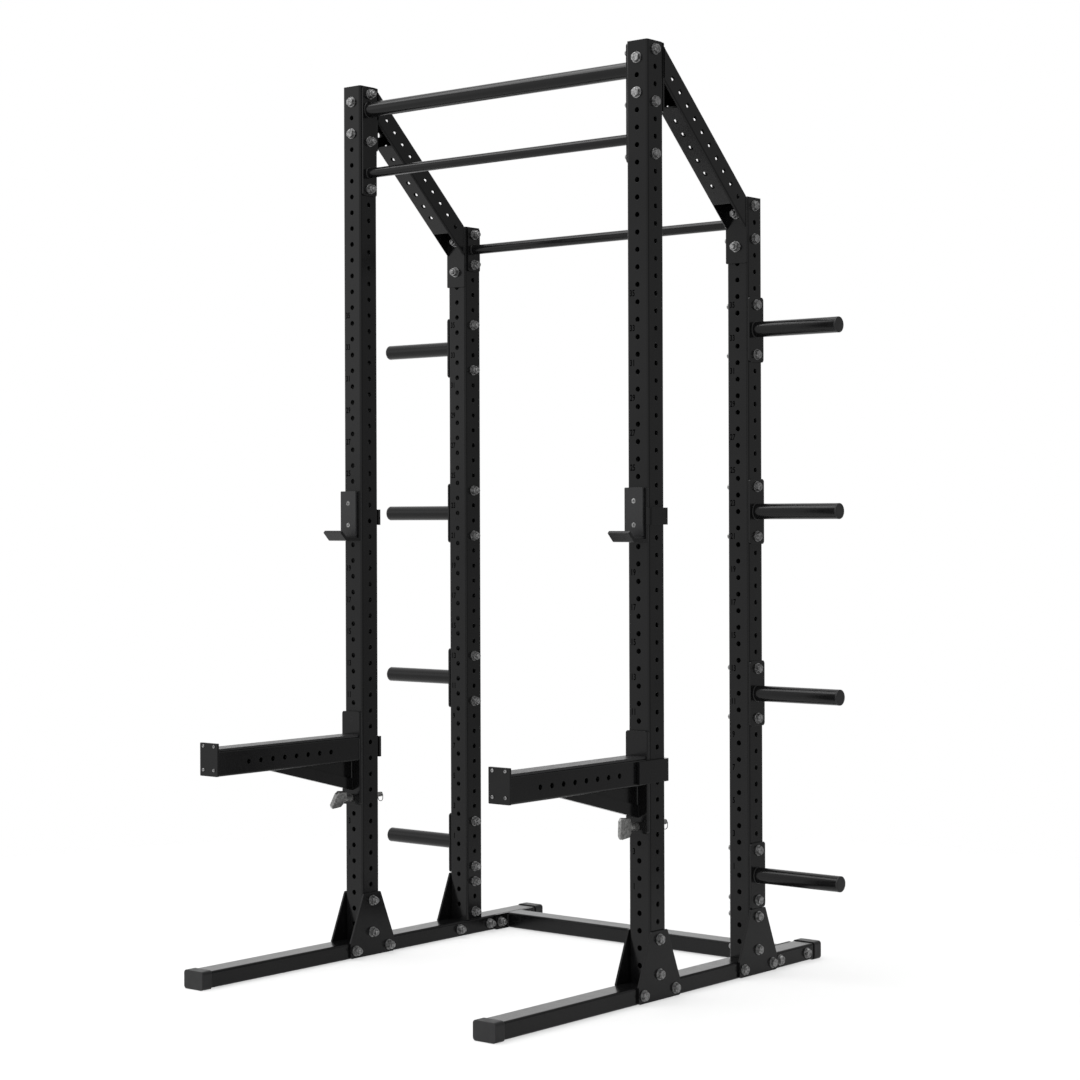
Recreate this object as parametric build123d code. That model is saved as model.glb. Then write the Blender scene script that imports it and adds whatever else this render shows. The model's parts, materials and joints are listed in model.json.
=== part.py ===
from build123d import *
import os

# Half-rack style power cage: two tall front uprights, two shorter rear uprights, slanted top rails,
# pull-up bars, floor base, weight pegs, J-cups and spotter arms on the front.
# Millimetres. X across, -Y the front, +Z up. Origin: centre of the footprint on the floor.

# ---- tube stock and hole grid
PITCH = 50.8                    # hole pitch of every upright and rail
TUBE = 76.2                     # square tube, outside
WALL = 4.76
TUBE_R = 7.0                    # outside corner radius
HOLE_D = 16.0                   # grid hole for 5/8 in bolts and pins
PLATE = 6.35                    # welded and bolted plates
HEAVY = 9.5                     # J-cup and spotter arm steel

# ---- overall layout
CENTRE_WIDTH = 1149.35          # upright centres, across
CENTRE_DEPTH = 10 * PITCH       # upright centres, front to rear
FRONT_PITCHES = 54              # front upright length in hole pitches
REAR_PITCHES = 46
FRONT_Y = -67.75                # front upright centre from the footprint's centre
BASE_LENGTH = 1590.6            # base tube
BASE_H = 50.8
CROSS_BEHIND = 4 * PITCH        # rear cross tube behind the rear upright centre
CROSS_FLANGE = 4 * PITCH

# ---- base end caps
CAP_SKIN = 3.0
CAP_END = 3.45
CAP_LENGTH = 38.0
CAP_GAP = 0.1

# ---- gussets
GUSSET_TOP = 3 * PITCH
GUSSET_HALF = 100.0
GUSSET_DROP = 49.0
GUSSET_R = 6.0
GUSSET_BOLT_Y = 1.5 * PITCH

# ---- pull-up bars
PULL_PLATE_W = 63.5
REAR_PLATE_W = 60.0
PLATE_END = 22.2                # plate past its outermost bolt
FAT_BAR_D = 48.3
THIN_BAR_D = 31.75
BAR_WALL = 4.0

# ---- top rails
RAIL_FLANGE = 4 * PITCH
POCKET_RUN = 73.9               # underside access opening, measured along Y
RAIL_SIDE_HOLES = 10

# ---- weight pegs
PEG_D = 48.3
PEG_WALL = 3.7
PEG_REACH = 300.0               # from the plate's face to the end of the cap
PEG_PLATE_H = 200.0
PEG_PLATE_R = 10.0
PEG_LEVELS = (38, 27, 16, 5)    # hole pitches above the base
PEG_CAP_T = 6.0
PEG_CAP_PLUG = 22.0

# ---- hex fasteners
BOLT_D = 15.8
HEX_AF = 23.8
HEAD_H = 9.9
NUT_H = 13.9
WASHER_D = 33.3
WASHER_T = 2.4
BOLT_TIP = 8.0

# ---- running fits
PIN_GAP = 0.075                 # radial, pins in the grid holes
SLIDE_GAP = 0.3                 # liner to upright
STRAP_GAP = 1.5                 # strap to the upright's outer face
STRAP_REAR_GAP = 2.4
FACE_GAP = 0.3                  # hitch pin collar to the mount plate
SCREW_GAP = 0.05
STRAP_R = 15.0                  # outside bend radius
FIXED_PIN_REACH = 11.0          # past the inside of the upright's front wall

# ---- J-cups, heights measured from the pin
CUP_LEVEL = 28
CUP_LINER = 3.0
CUP_TOP = 19.0
CUP_BOTTOM = -139.5
CUP_STRAP_TOP = -39.5
CUP_STRAP_H = 49.7
CUP_DEPTH = 108.5               # lip foot ahead of the upright's axis
LIP_LEAN = 26.0
LIP_RISE = 26.0
CUP_PAD_W = 66.0
CUP_PAD_T = 9.6
CUP_PAD_R = 3.0
CUP_CORNER_R = 4.0
SHELF_PAD_T = 5.0
SHELF_PAD_GAP = 0.4
CUP_SCREW_LEVELS = (-20.0, -90.0)
CUP_SCREW_D = 8.0
CUP_SCREW_HEAD_D = 15.0
CUP_SCREW_HEAD_H = 3.6

# ---- spotter arms, heights measured from the base top
ARM_PIN_LEVEL = 14
HITCH_LEVEL = 9
ARM_LINER = 3.5
ARM_PLATE_LOW = 436.5
ARM_PLATE_HIGH = 735.0
ARM_PLATE_R = 8.0
ARM_BOTTOM = 578.6
ARM_TIP = 658.7                 # tube end ahead of the upright's axis
ARM_STRIP_W = 70.0
ARM_STRIP_T = 7.2
ARM_HOLES = 8
ARM_FIRST_HOLE = 180.0
ARM_STRAP_LOW = 585.0
ARM_STRAP_H = 66.0
ARM_STRAP_START = 100.0
BRACE_RUN = 380.0
BRACE_FOOT = 482.3
BRACE_BAR_H = 36.0              # thicker bar along the brace's lower edge
BRACE_BAR_T = 16.0
STOP_TOP = 679.0
STOP_R = 3.0
STOP_SCREW_X = 23.0
STOP_SCREW_LEVELS = (597.6, 669.4)
STOP_SCREW_D = 6.0
STOP_HEAD_D = 10.0
STOP_HEAD_H = 3.0

# ---- hitch pins, distances from the upright's axis
HITCH_TIP = 92.0
HITCH_TAPER = 3.0
RING_HOLE_Y = 86.0
WIRE_R = 1.15
RING_HALF = 10.5
RING_CORNER = 2.3
RING_GAP = 0.05
HITCH_COLLAR_D = 26.0
HITCH_COLLAR_L = 30.0
HANDLE_L = 51.0
HANDLE_HALF = 32.0
HANDLE_T = 13.0
HANDLE_ROLL = {"left": 30.0, "right": 2.0}

# ---- derived
DECK = CAP_SKIN + BASE_H        # top of the base tubes, foot of the uprights
UPRIGHT_X = CENTRE_WIDTH / 2
REAR_Y = FRONT_Y + CENTRE_DEPTH
CROSS_Y = REAR_Y + CROSS_BEHIND
HALF = TUBE / 2
INNER_X = UPRIGHT_X - HALF
OUTER_X = UPRIGHT_X + HALF
PIN_R = HOLE_D / 2 - PIN_GAP
SIDES = {"left": -1, "right": 1}

START = (Align.CENTER, Align.CENTER, Align.MIN)


def rod(radius, start, end):
    """Round bar between two points on one axis."""
    path = Vector(*end) - Vector(*start)
    place = Plane(origin=start, z_dir=path.normalized())
    return place * Cylinder(radius, path.length, align=START)


def pipe(radius, wall, start, end):
    return rod(radius, start, end) - rod(radius - wall, start, end)


def across(outline, low, high):
    """Extrude a (Y, Z) outline along X."""
    return extrude(Pos(low, 0, 0) * (Plane.YZ * outline), amount=high - low, dir=(1, 0, 0))


def along(outline, low, high):
    """Extrude an (X, Z) outline along Y."""
    return extrude(Pos(0, low, 0) * (Plane.XZ * outline), amount=high - low, dir=(0, 1, 0))


def upward(outline, low, high):
    """Extrude an (X, Y) outline along Z."""
    return extrude(Pos(0, 0, low) * outline, amount=high - low, dir=(0, 0, 1))


def shape(*points, radius=0.0):
    outline = Polygon(*points, align=None)
    if radius:
        outline = fillet(outline.vertices(), radius)
    return outline


def panel(width, height, radius, centre=(0, 0)):
    return Pos(*centre) * RectangleRounded(width, height, radius)


def block(x, y, z):
    """Box from three (low, high) pairs."""
    size = (x[1] - x[0], y[1] - y[0], z[1] - z[0])
    centre = ((x[0] + x[1]) / 2, (y[0] + y[1]) / 2, (z[0] + z[1]) / 2)
    return Pos(*centre) * Box(*size)


def level(count):
    return DECK + count * PITCH


def save(solids, node):
    if isinstance(solids, list):
        solids = Compound(children=solids)
    export_step(solids, f"parts/{node}.step")


def mirrored(solid, sign):
    return solid if sign > 0 else mirror(solid, about=Plane.YZ)


# ---- uprights: holes through front and rear faces on the pitch, through the sides half a pitch off
def upright(pitches):
    length = pitches * PITCH
    bore = TUBE - 2 * WALL
    body = upward(RectangleRounded(TUBE, TUBE, TUBE_R), 0, length)
    body -= upward(RectangleRounded(bore, bore, TUBE_R - WALL), -1, length + 1)
    reach = HALF + 1
    cuts = []
    for n in range(pitches):
        z = (n + 0.5) * PITCH
        cuts.append(rod(HOLE_D / 2, (-reach, 0, z), (reach, 0, z)))
        if n:
            cuts.append(rod(HOLE_D / 2, (0, -reach, n * PITCH), (0, reach, n * PITCH)))
    return body - cuts


front_upright = upright(FRONT_PITCHES)
rear_upright = upright(REAR_PITCHES)
for side, sign in SIDES.items():
    save(Pos(sign * UPRIGHT_X, FRONT_Y, DECK) * front_upright, f"upright_front_{side}")
    save(Pos(sign * UPRIGHT_X, REAR_Y, DECK) * rear_upright, f"upright_rear_{side}")

# ---- flush plugs in the tops of the uprights
PLUG_T = 12.0
PLUG_GAP = 0.2
plug_side = TUBE - 2 * WALL - 2 * PLUG_GAP
plug = upward(RectangleRounded(plug_side, plug_side, TUBE_R - WALL), -PLUG_T, 0)
plugs = []
for sign in SIDES.values():
    plugs.append(Pos(sign * UPRIGHT_X, FRONT_Y, level(FRONT_PITCHES)) * plug)
    plugs.append(Pos(sign * UPRIGHT_X, REAR_Y, level(REAR_PITCHES)) * plug)
save(plugs, "upright_top_plugs")


# ---- base tubes, bolted through under the gussets and at the cross tube's flanges
def base_bolt_rows():
    rows = [FRONT_Y + sign * GUSSET_BOLT_Y for sign in (-1, 1)]
    rows += [REAR_Y + sign * GUSSET_BOLT_Y for sign in (-1, 1)]
    rows += [CROSS_Y + sign * (CROSS_FLANGE / 2 - PITCH / 2) for sign in (-1, 1)]
    return rows


BASE_MID = CAP_SKIN + BASE_H / 2
base_outer = panel(TUBE, BASE_H, TUBE_R, (0, BASE_MID))
base_inner = panel(TUBE - 2 * WALL, BASE_H - 2 * WALL, TUBE_R - WALL, (0, BASE_MID))
base = along(base_outer, -BASE_LENGTH / 2, BASE_LENGTH / 2)
base -= along(base_inner, -BASE_LENGTH / 2 - 1, BASE_LENGTH / 2 + 1)
base -= [rod(HOLE_D / 2, (-HALF - 1, y, BASE_MID), (HALF + 1, y, BASE_MID)) for y in base_bolt_rows()]
for side, sign in SIDES.items():
    save(Pos(sign * UPRIGHT_X, 0, 0) * base, f"base_tube_{side}")

cap_w = TUBE + 2 * CAP_SKIN
cap_h = BASE_H + 2 * CAP_SKIN
cap_out = panel(cap_w, cap_h, TUBE_R + CAP_SKIN, (0, BASE_MID))
cap_in = panel(TUBE + 2 * CAP_GAP, BASE_H + 2 * CAP_GAP, TUBE_R + CAP_GAP, (0, BASE_MID))
cap_tip = BASE_LENGTH / 2 + CAP_END
cap = along(cap_out, cap_tip - CAP_LENGTH, cap_tip)
cap = fillet(cap.faces().sort_by(Axis.Y)[-1].edges(), 2.5)
cap -= along(cap_in, cap_tip - CAP_LENGTH - 1, BASE_LENGTH / 2)
caps = []
for sign in SIDES.values():
    rear_cap = Pos(sign * UPRIGHT_X, 0, 0) * cap
    caps.append(rear_cap)
    caps.append(mirror(rear_cap, about=Plane.XZ))
save(caps, "base_end_caps")

# ---- rear cross tube with its two bolting flanges
cross_outer = panel(TUBE, BASE_H, TUBE_R, (CROSS_Y, BASE_MID))
cross_inner = panel(TUBE - 2 * WALL, BASE_H - 2 * WALL, TUBE_R - WALL, (CROSS_Y, BASE_MID))
cross = across(cross_outer, PLATE - INNER_X, INNER_X - PLATE)
cross -= across(cross_inner, -INNER_X, INNER_X)
flange_outline = panel(CROSS_FLANGE, BASE_H, 5.0, (CROSS_Y, BASE_MID))
cross_flange = across(flange_outline, INNER_X - PLATE, INNER_X) - across(cross_inner, 0, INNER_X + 1)
for y in base_bolt_rows()[4:]:
    cross_flange -= rod(HOLE_D / 2, (0, y, BASE_MID), (INNER_X + 1, y, BASE_MID))
save(cross, "rear_cross_tube")
save([cross_flange, mirror(cross_flange, about=Plane.YZ)], "rear_cross_flanges")

# ---- gussets: plates both sides of the front uprights, outer side only on the rear uprights
gusset_outline = shape(
    (-HALF, GUSSET_TOP), (HALF, GUSSET_TOP), (GUSSET_HALF, 0),
    (GUSSET_HALF, -GUSSET_DROP), (-GUSSET_HALF, -GUSSET_DROP), (-GUSSET_HALF, 0), radius=GUSSET_R)
gusset = across(gusset_outline, 0, PLATE)
gusset_holes = [(0, 2.5 * PITCH), (0, 0.5 * PITCH)]
gusset_holes += [(sign * GUSSET_BOLT_Y, -BASE_H / 2) for sign in (-1, 1)]
gusset -= [rod(HOLE_D / 2, (-1, y, z), (PLATE + 1, y, z)) for y, z in gusset_holes]
for side, sign in SIDES.items():
    outer_x = OUTER_X if sign > 0 else -OUTER_X - PLATE
    inner_x = INNER_X - PLATE if sign > 0 else -INNER_X
    save(Pos(outer_x, FRONT_Y, DECK) * gusset, f"gusset_front_outer_{side}")
    save(Pos(inner_x, FRONT_Y, DECK) * gusset, f"gusset_front_inner_{side}")
    save(Pos(outer_x, REAR_Y, DECK) * gusset, f"gusset_rear_{side}")


# ---- pull-up bars: open pipes through an end plate each side
def bar_frame(centre_y, plate_w, bolts, bars):
    low = level(min(bolts)) - PLATE_END
    high = level(max(bolts)) + PLATE_END
    outline = panel(plate_w, high - low, 8.0, (centre_y, (low + high) / 2))
    body = across(outline, INNER_X - PLATE, INNER_X) + across(outline, -INNER_X, PLATE - INNER_X)
    for row, diameter in bars:
        ends = (-INNER_X, centre_y, level(row)), (INNER_X, centre_y, level(row))
        body += rod(diameter / 2, *ends)
    for row, diameter in bars:
        ends = (-INNER_X - 1, centre_y, level(row)), (INNER_X + 1, centre_y, level(row))
        body -= rod(diameter / 2 - BAR_WALL, *ends)
    for row in bolts:
        body -= rod(HOLE_D / 2, (INNER_X - PLATE - 1, centre_y, level(row)), (INNER_X + 1, centre_y, level(row)))
        body -= rod(HOLE_D / 2, (-INNER_X - 1, centre_y, level(row)), (PLATE + 1 - INNER_X, centre_y, level(row)))
    return body


FRONT_BAR_BOLTS = (FRONT_PITCHES - 6.5, FRONT_PITCHES - 3.5, FRONT_PITCHES - 0.5)
REAR_BAR_BOLTS = (REAR_PITCHES - 2.5, REAR_PITCHES - 0.5)
front_bars = ((FRONT_PITCHES - 1.5, FAT_BAR_D), (FRONT_PITCHES - 5.5, THIN_BAR_D))
save(bar_frame(FRONT_Y, PULL_PLATE_W, FRONT_BAR_BOLTS, front_bars), "front_pull_up_bars")
save(bar_frame(REAR_Y, REAR_PLATE_W, REAR_BAR_BOLTS, ((REAR_PITCHES - 1.5, THIN_BAR_D),)), "rear_pull_up_bar")

# ---- slanted top rails between the uprights
rail_front = FRONT_Y + HALF
rail_rear = REAR_Y - HALF
front_top = level(FRONT_PITCHES)
rear_top = level(REAR_PITCHES)
fall = (front_top - rear_top) / (rail_rear - rail_front)
rail_vector = Vector(0, 1, -fall).normalized()
rail_normal = Vector(0, fall, 1).normalized()
lean = 1 / rail_normal.Z        # vertical thickness of a unit laid square to the slope


def rail_z(y, depth):
    """Height at y of the line the given distance under the rail's top face."""
    return front_top - fall * (y - rail_front) - depth * lean


def rail_band(y_low, y_high, depth_low, depth_high):
    return shape(
        (y_low, rail_z(y_low, depth_high)), (y_high, rail_z(y_high, depth_high)),
        (y_high, rail_z(y_high, depth_low)), (y_low, rail_z(y_low, depth_low)))


def slanted_edges(solid):
    return [e for e in solid.edges() if abs((e % 0.5).dot(rail_vector)) > 0.999]


tube_low, tube_high = rail_front + PLATE, rail_rear - PLATE
rail = across(rail_band(tube_low, tube_high, 0, TUBE), -HALF, HALF)
rail = fillet(slanted_edges(rail), TUBE_R)
rail_bore = across(rail_band(tube_low, tube_high, WALL, TUBE - WALL), WALL - HALF, HALF - WALL)
rail_bore = fillet(slanted_edges(rail_bore), TUBE_R - WALL)
rail -= rail_bore
pocket_half = HALF - WALL - 1.0
for y_low, y_high in ((tube_low, tube_low + POCKET_RUN), (tube_high - POCKET_RUN, tube_high)):
    rail -= across(rail_band(y_low, y_high, TUBE - WALL - 1, TUBE + 2), -pocket_half, pocket_half)
mid_y = (rail_front + rail_rear) / 2
mid = Vector(0, mid_y, rail_z(mid_y, HALF))
for k in range(RAIL_SIDE_HOLES):
    spot = mid + rail_vector * ((k - (RAIL_SIDE_HOLES - 1) / 2) * PITCH)
    rail -= rod(HOLE_D / 2, (-HALF - 1, spot.Y, spot.Z), (HALF + 1, spot.Y, spot.Z))
for k in range(-4, 5):          # the outermost ones go through the top face only
    spot = mid + rail_vector * (k * PITCH)
    bottom = spot - rail_normal * (HALF + 2) if -3 < k < 4 else spot
    rail -= rod(HOLE_D / 2, tuple(bottom), tuple(spot + rail_normal * (HALF + 2)))
for y_low, y_high, top, bolts in (
        (rail_front, tube_low, FRONT_PITCHES, (FRONT_PITCHES - 1, FRONT_PITCHES - 3)),
        (tube_high, rail_rear, REAR_PITCHES, (REAR_PITCHES - 1, REAR_PITCHES - 3))):
    flange = along(panel(TUBE, RAIL_FLANGE, 4.0, (0, level(top) - RAIL_FLANGE / 2)), y_low, y_high)
    flange -= [rod(HOLE_D / 2, (0, y_low - 1, level(n)), (0, y_high + 1, level(n))) for n in bolts]
    rail += flange
for side, sign in SIDES.items():
    save(Pos(sign * UPRIGHT_X, 0, 0) * rail, f"top_rail_{side}")

# ---- weight pegs on the rear uprights' outer faces, pipe welded to a two-bolt plate
peg_outline = panel(TUBE, PEG_PLATE_H, PEG_PLATE_R, (REAR_Y, 0))
peg = across(peg_outline, OUTER_X, OUTER_X + PLATE)
PEG_BOLT_Z = 1.5 * PITCH
for sign in (-1, 1):
    z = sign * PEG_BOLT_Z
    peg -= rod(HOLE_D / 2, (OUTER_X - 1, REAR_Y, z), (OUTER_X + PLATE + 1, REAR_Y, z))
peg_face = OUTER_X + PLATE
peg_end = peg_face + PEG_REACH
peg += pipe(PEG_D / 2, PEG_WALL, (peg_face, REAR_Y, 0), (peg_end - PEG_CAP_T, REAR_Y, 0))
peg_cap = rod(PEG_D / 2, (peg_end - PEG_CAP_T, REAR_Y, 0), (peg_end, REAR_Y, 0))
peg_cap = fillet(peg_cap.edges().sort_by(Axis.X)[-1], 3.0)
cap_plug_r = PEG_D / 2 - PEG_WALL - CAP_GAP
peg_cap += rod(cap_plug_r, (peg_end - PEG_CAP_T - PEG_CAP_PLUG, REAR_Y, 0), (peg_end - PEG_CAP_T, REAR_Y, 0))
peg_caps = []
for side, sign in SIDES.items():
    for count, row in enumerate(PEG_LEVELS, start=1):
        save(mirrored(Pos(0, 0, level(row)) * peg, sign), f"weight_peg_{side}_{count}")
        peg_caps.append(mirrored(Pos(0, 0, level(row)) * peg_cap, sign))
save(peg_caps, "weight_peg_caps")


# ---- hex bolts, washers and nuts
def hex_prism(flats, height):
    prism = upward(RegularPolygon(flats / 2, 6, major_radius=False), 0, height)
    crown = Cone(flats * 0.475 + height * 1.732, flats * 0.475, height, align=START)
    return prism & crown


def bolt_solid(grip):
    length = 2 * WASHER_T + grip + NUT_H + BOLT_TIP
    shank = Pos(0, 0, -WASHER_T) * Cylinder(BOLT_D / 2, length, align=START)
    shank = chamfer(shank.edges().sort_by(Axis.Z)[-1], 1.2)
    return shank + Pos(0, 0, -WASHER_T) * Rot(180, 0, 0) * hex_prism(HEX_AF, HEAD_H)


washer = Cylinder(WASHER_D / 2, WASHER_T, align=START) - Cylinder(HOLE_D / 2, 3 * WASHER_T)
nut = hex_prism(HEX_AF, NUT_H) - Cylinder(HOLE_D / 2, 3 * NUT_H)
joints = []                     # where the axis meets the first face, its direction, the grip
for sign in SIDES.values():
    into = (-sign, 0, 0)
    outer, plated = sign * OUTER_X, sign * (OUTER_X + PLATE)
    for y, z in gusset_holes:
        joints.append(((plated, FRONT_Y + y, DECK + z), into, TUBE + 2 * PLATE))
        joints.append(((plated, REAR_Y + y, DECK + z), into, TUBE + PLATE))
    for y in base_bolt_rows()[4:]:
        joints.append(((outer, y, BASE_MID), into, TUBE + PLATE))
    for row in FRONT_BAR_BOLTS:
        joints.append(((outer, FRONT_Y, level(row)), into, TUBE + PLATE))
    for row in REAR_BAR_BOLTS:
        joints.append(((outer, REAR_Y, level(row)), into, TUBE + PLATE))
    for row in PEG_LEVELS:
        for step in (-1.5, 1.5):
            joints.append(((plated, REAR_Y, level(row + step)), into, TUBE + PLATE))
    for n in (FRONT_PITCHES - 1, FRONT_PITCHES - 3):
        joints.append(((sign * UPRIGHT_X, FRONT_Y - HALF, level(n)), (0, 1, 0), TUBE + PLATE))
    for n in (REAR_PITCHES - 1, REAR_PITCHES - 3):
        joints.append(((sign * UPRIGHT_X, REAR_Y + HALF, level(n)), (0, -1, 0), TUBE + PLATE))
bolts = {grip: bolt_solid(grip) for grip in {joint[2] for joint in joints}}
bolt_set, washer_set, nut_set = [], [], []
for spot, direction, grip in joints:
    place = Plane(origin=spot, x_dir=(0, 0, 1), z_dir=direction)
    bolt_set.append(place * bolts[grip])
    washer_set.append(place * Pos(0, 0, -WASHER_T) * washer)
    washer_set.append(place * Pos(0, 0, grip) * washer)
    nut_set.append(place * Pos(0, 0, grip + WASHER_T) * nut)
save(bolt_set, "frame_bolts")
save(washer_set, "frame_washers")
save(nut_set, "frame_nuts")


# ---- bent strap around the outer side and rear of a front upright, drawn for the right side
def strap_outline(front_y, bend_front):
    """(X, Y) outline about the upright's axis; with bend_front it curls in at the front too."""
    far_x = HALF + STRAP_GAP + HEAVY
    near_x = HALF + STRAP_GAP
    rear_in = HALF + STRAP_REAR_GAP
    rear_out = rear_in + HEAVY
    if bend_front:
        points = [(-HALF, rear_in), (-HALF, rear_out), (far_x, rear_out), (far_x, front_y),
                  (0, front_y), (0, front_y + HEAVY), (near_x, front_y + HEAVY), (near_x, rear_in)]
    else:
        points = [(-HALF, rear_in), (-HALF, rear_out), (far_x, rear_out), (far_x, front_y),
                  (near_x, front_y), (near_x, rear_in)]
    outline = Polygon(*points, align=None)
    far = [v for v in outline.vertices() if abs(v.X - far_x) < 0.01 and (bend_front or v.Y > 0)]
    outline = fillet(far, STRAP_R)
    near = [v for v in outline.vertices() if abs(v.X - near_x) < 0.01 and v.Y > 0]
    return fillet(near, STRAP_R - HEAVY)


def fixed_pin(front_y):
    end = -HALF + WALL + FIXED_PIN_REACH
    pin = rod(PIN_R, (0, front_y, 0), (0, end, 0))
    return chamfer(pin.edges().sort_by(Axis.Y)[-1], 1.5)


# ---- J-cup for the right side, drawn about its pin
liner_back = -HALF - SLIDE_GAP
cup_back = liner_back - CUP_LINER
cup_front = cup_back - HEAVY
shelf_top = CUP_BOTTOM + HEAVY
lip = Vector(-LIP_LEAN, LIP_RISE).normalized()
square = Vector(lip.Y, -lip.X)  # across the lip, towards the upright
lip_foot = Vector(-CUP_DEPTH, CUP_BOTTOM)
lip_tip = lip_foot + Vector(-LIP_LEAN, LIP_RISE)
lip_tip_in = lip_tip + square * HEAVY
lip_in = lip_foot + square * HEAVY
lip_heel = lip_in + lip * ((shelf_top - lip_in.Y) / lip.Y)
profile = shape(
    (cup_back, CUP_TOP), (cup_front, CUP_TOP), (cup_front, shelf_top),
    (lip_heel.X, lip_heel.Y), (lip_tip_in.X, lip_tip_in.Y), (lip_tip.X, lip_tip.Y),
    (lip_foot.X, lip_foot.Y), (cup_back, CUP_BOTTOM))
corners = [v for v in profile.vertices() if v.Y < CUP_BOTTOM + 0.01 or abs(v.Y - shelf_top) < 0.01]
profile = fillet([v for v in corners if abs(v.X + CUP_DEPTH) < 0.01], 10.0)
bracket = across(profile, -HALF, HALF)
plan = panel(TUBE, 200.0, CUP_CORNER_R, (0, lip_tip.X - 2 + 100.0))
bracket &= upward(plan, -300, 300)
view_h = CUP_TOP - CUP_BOTTOM + 60
front_view = along(panel(TUBE, view_h, CUP_CORNER_R, (0, CUP_TOP - view_h / 2)), -200, 200)
bracket &= front_view
strap = upward(strap_outline(cup_front, True), CUP_STRAP_TOP - CUP_STRAP_H, CUP_STRAP_TOP)
bracket += strap
bracket -= rod(HOLE_D / 2, (0, cup_front - 1, 0), (0, cup_back + 1, 0))
screw_r = CUP_SCREW_D / 2
for z in CUP_SCREW_LEVELS:
    bracket -= rod(screw_r + SCREW_GAP, (0, cup_front - 1, z), (0, cup_back + 1, z))

pad_front = cup_front - CUP_PAD_T
shelf_pad_top = shelf_top + SHELF_PAD_T
pad_outline = panel(CUP_PAD_W, CUP_TOP - shelf_pad_top, CUP_PAD_R, (0, (CUP_TOP + shelf_pad_top) / 2))
face_pad = along(pad_outline, pad_front, cup_front)
screws = []
head_r = CUP_SCREW_HEAD_D / 2
for z in CUP_SCREW_LEVELS:
    sink = Plane(origin=(0, pad_front, z), z_dir=(0, 1, 0))
    head = sink * Cone(head_r, screw_r, CUP_SCREW_HEAD_H, align=START)
    hole = sink * Pos(0, 0, -SCREW_GAP) * Cone(head_r + SCREW_GAP, screw_r + SCREW_GAP, CUP_SCREW_HEAD_H,
                                                align=START)
    face_pad -= hole
    face_pad -= rod(screw_r + SCREW_GAP, (0, pad_front, z), (0, cup_front + 1, z))
    socket = sink * upward(RegularPolygon(2.5, 6, major_radius=False), -1, 2.4)
    shank = rod(screw_r, (0, pad_front + CUP_SCREW_HEAD_H - 0.2, z), (0, cup_back - 0.5, z))
    screws.append(head - socket + shank)
shelf_pad = across(shape(
    (cup_front - SHELF_PAD_GAP, shelf_top), (cup_front - SHELF_PAD_GAP, shelf_pad_top),
    (lip_heel.X + SHELF_PAD_GAP - SHELF_PAD_T * LIP_LEAN / LIP_RISE, shelf_pad_top),
    (lip_heel.X + SHELF_PAD_GAP, shelf_top)), -CUP_PAD_W / 2, CUP_PAD_W / 2)
liner_h = CUP_TOP - CUP_BOTTOM
cup_liner = along(panel(TUBE, liner_h, CUP_CORNER_R, (0, (CUP_TOP + CUP_BOTTOM) / 2)), cup_back, liner_back)
cup_liner -= rod(HOLE_D / 2 + 0.5, (0, cup_back - 1, 0), (0, liner_back + 1, 0))
cup_pieces = {
    "bracket": bracket, "face_pad": face_pad, "shelf_pad": shelf_pad,
    "liner": cup_liner, "pin": fixed_pin(cup_front)}
for side, sign in SIDES.items():
    place = Pos(UPRIGHT_X, FRONT_Y, level(CUP_LEVEL))
    for name, solid in cup_pieces.items():
        save(mirrored(place * solid, sign), f"jcup_{name}_{side}")
    save([mirrored(place * screw, sign) for screw in screws], f"jcup_screws_{side}")

# ---- spotter arm for the right side, drawn about the upright's axis with Z = 0 at the base top
arm_back = liner_back - ARM_LINER
arm_face = arm_back - HEAVY
arm_top = ARM_BOTTOM + TUBE
arm_mid = ARM_BOTTOM + HALF
plate_mid = (ARM_PLATE_LOW + ARM_PLATE_HIGH) / 2
plate_h = ARM_PLATE_HIGH - ARM_PLATE_LOW
arm = along(RectangleRounded(TUBE, TUBE, TUBE_R), -ARM_TIP, arm_face)
bore = TUBE - 2 * WALL
arm -= along(RectangleRounded(bore, bore, TUBE_R - WALL), PLATE - ARM_TIP, arm_face + 1)
arm = Pos(0, 0, arm_mid) * arm
arm -= [rod(HOLE_D / 2, (-HALF - 1, y, arm_mid), (HALF + 1, y, arm_mid))
        for y in [-ARM_FIRST_HOLE - k * PITCH for k in range(ARM_HOLES)]]
arm += along(panel(TUBE, plate_h, ARM_PLATE_R, (0, plate_mid)), arm_face, arm_back)
brace = shape((arm_face - BRACE_RUN, ARM_BOTTOM + 1), (arm_face + 1, ARM_BOTTOM + 1), (arm_face + 1, BRACE_FOOT))
arm += across(brace, -PLATE / 2, PLATE / 2)
brace_slope = (ARM_BOTTOM - BRACE_FOOT) / BRACE_RUN
bar_run = BRACE_RUN - BRACE_BAR_H / brace_slope
brace_bar = shape(
    (arm_face - BRACE_RUN, ARM_BOTTOM + 1), (arm_face - bar_run, ARM_BOTTOM + 1),
    (arm_face + 1, BRACE_FOOT + BRACE_BAR_H), (arm_face + 1, BRACE_FOOT))
arm += across(brace_bar, -BRACE_BAR_T / 2, BRACE_BAR_T / 2)
arm += upward(strap_outline(-ARM_STRAP_START, False), ARM_STRAP_LOW, ARM_STRAP_LOW + ARM_STRAP_H)
arm += block((HALF - 1, HALF + STRAP_GAP + 0.5), (2 - ARM_STRAP_START, arm_back),
             (ARM_STRAP_LOW + 3, ARM_STRAP_LOW + ARM_STRAP_H - 3))
hitch_z = HITCH_LEVEL * PITCH
arm_pin_z = ARM_PIN_LEVEL * PITCH
for z in (hitch_z, arm_pin_z):
    arm -= rod(HOLE_D / 2, (0, arm_face - 1, z), (0, arm_back + 1, z))
stop_r = STOP_SCREW_D / 2
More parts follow.
